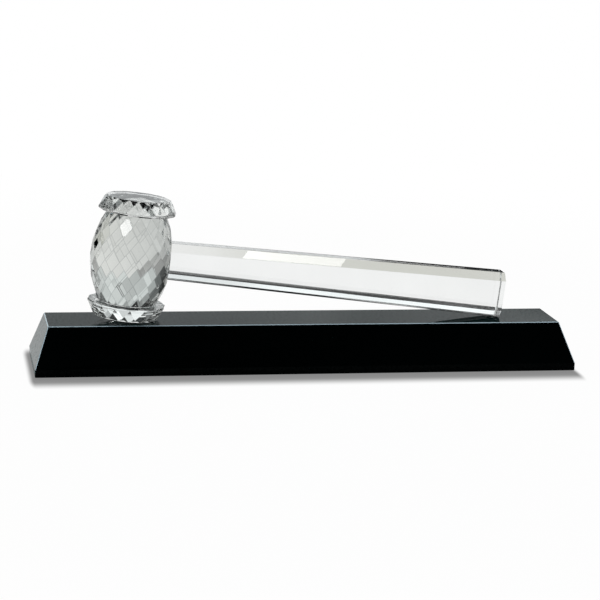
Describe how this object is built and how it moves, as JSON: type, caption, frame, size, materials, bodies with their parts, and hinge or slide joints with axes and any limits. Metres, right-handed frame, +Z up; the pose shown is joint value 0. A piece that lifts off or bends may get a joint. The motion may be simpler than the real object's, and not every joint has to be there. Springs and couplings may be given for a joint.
{
  "type": "ceremonial gavel on plinth",
  "caption": "Cut-crystal ceremonial gavel with a faceted head and a tapered eight-sided handle, lying loose on a bare black glass plinth.",
  "frame": {"origin": "middle of the footprint, on the surface that the feet stand on", "axes": "+X along the plinth, from the head towards the handle's end; +Y from the front to the back; +Z up"},
  "size_m": [0.305, 0.057, 0.0979],
  "materials": {
    "black_glass": "polished",
    "crystal": "cut and polished",
    "adhesive": "clear, cured",
    "foot_clear": "clear, soft"
  },
  "bodies": {
    "plinth": {"plinth": "black_glass", "foot_head_front": "foot_clear", "foot_head_back": "foot_clear", "foot_tip_front": "foot_clear", "foot_tip_back": "foot_clear"},
    "gavel": {"head_barrel": "crystal", "crown_flange": "crystal", "sole_flange": "crystal", "handle": "crystal", "crown_bond": "adhesive", "sole_bond": "adhesive", "handle_bond": "adhesive"}
  },
  "joints": [
    {"name": "gavel_lift", "type": "slide", "parent": "plinth", "child": "gavel", "axis": [0, 0, 1], "range_m": [0, 0.12]}
  ]
}
